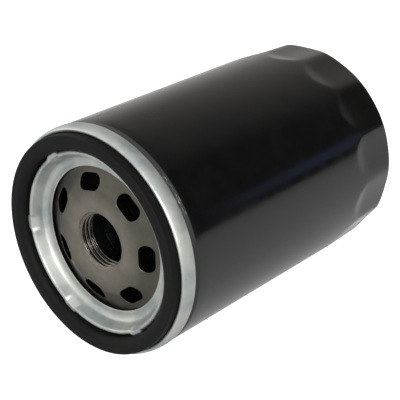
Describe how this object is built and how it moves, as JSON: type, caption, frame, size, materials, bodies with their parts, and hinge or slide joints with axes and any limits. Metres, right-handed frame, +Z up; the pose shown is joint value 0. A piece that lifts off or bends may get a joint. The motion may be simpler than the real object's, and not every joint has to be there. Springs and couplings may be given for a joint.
{
  "type": "spin-on oil filter",
  "caption": "Spin-on oil filter: painted can with wrench flats, rolled lid, face gasket and threaded plate round a pleated element with its valves.",
  "frame": {"origin": "centre of the gasket's sealing face, on the axis of the mounting thread", "axes": "+Y along the filter's axis from the threaded end to the dome, -Y out of the threaded end, +Z up with the filter lying on its side"},
  "size_m": [0.0764, 0.119, 0.0764],
  "materials": {
    "can_paint": "gloss black baked paint",
    "lid_zinc": "bright zinc plate, satin",
    "gasket_rubber": "matt moulded nitrile rubber",
    "plate_steel": "phosphated and oiled, satin",
    "seal_compound": "dried red lining compound",
    "valve_rubber": "matt moulded nitrile rubber",
    "cap_steel": "tinplate",
    "adhesive": "cured plastisol, semi-gloss",
    "media_paper": "resin-treated crepe paper",
    "tube_steel": "plain rolled steel",
    "valve_steel": "pressed bright steel",
    "spring_steel": "oil-tempered wire",
    "seal_rubber": "moulded nitrile rubber"
  },
  "bodies": {
    "canister": {"can": "can_paint", "seam_sealant": "seal_compound", "seaming_lid": "lid_zinc", "gasket": "gasket_rubber", "tapping_plate": "plate_steel", "drain_back_collar": "valve_rubber", "element_spring": "spring_steel"},
    "drain_back_valve": {"drain_back_lip": "valve_rubber"},
    "element": {"lower_end_cap": "cap_steel", "lower_adhesive": "adhesive", "filter_media": "media_paper", "media_clip": "tube_steel", "centre_tube": "tube_steel", "upper_adhesive": "adhesive", "upper_end_cap": "cap_steel", "bypass_cage": "valve_steel", "bypass_spring": "spring_steel"},
    "bypass_valve": {"bypass_seal": "seal_rubber", "bypass_poppet": "valve_steel", "bypass_stem": "valve_steel"}
  },
  "joints": [
    {"name": "drain_back_lift", "type": "slide", "parent": "canister", "child": "drain_back_valve", "axis": [0, 1, 0], "range_m": [0, 0.002], "stiffness_N_per_m": 250, "springref_m": -0.001},
    {"name": "element_float", "type": "slide", "parent": "canister", "child": "element", "axis": [0, 1, 0], "range_m": [0, 0.0025], "stiffness_N_per_m": 4000, "springref_m": -0.015, "deforming": ["element_spring"]},
    {"name": "bypass_open", "type": "slide", "parent": "element", "child": "bypass_valve", "axis": [0, -1, 0], "range_m": [0, 0.004], "stiffness_N_per_m": 600, "springref_m": -0.012, "deforming": ["bypass_spring"]}
  ]
}
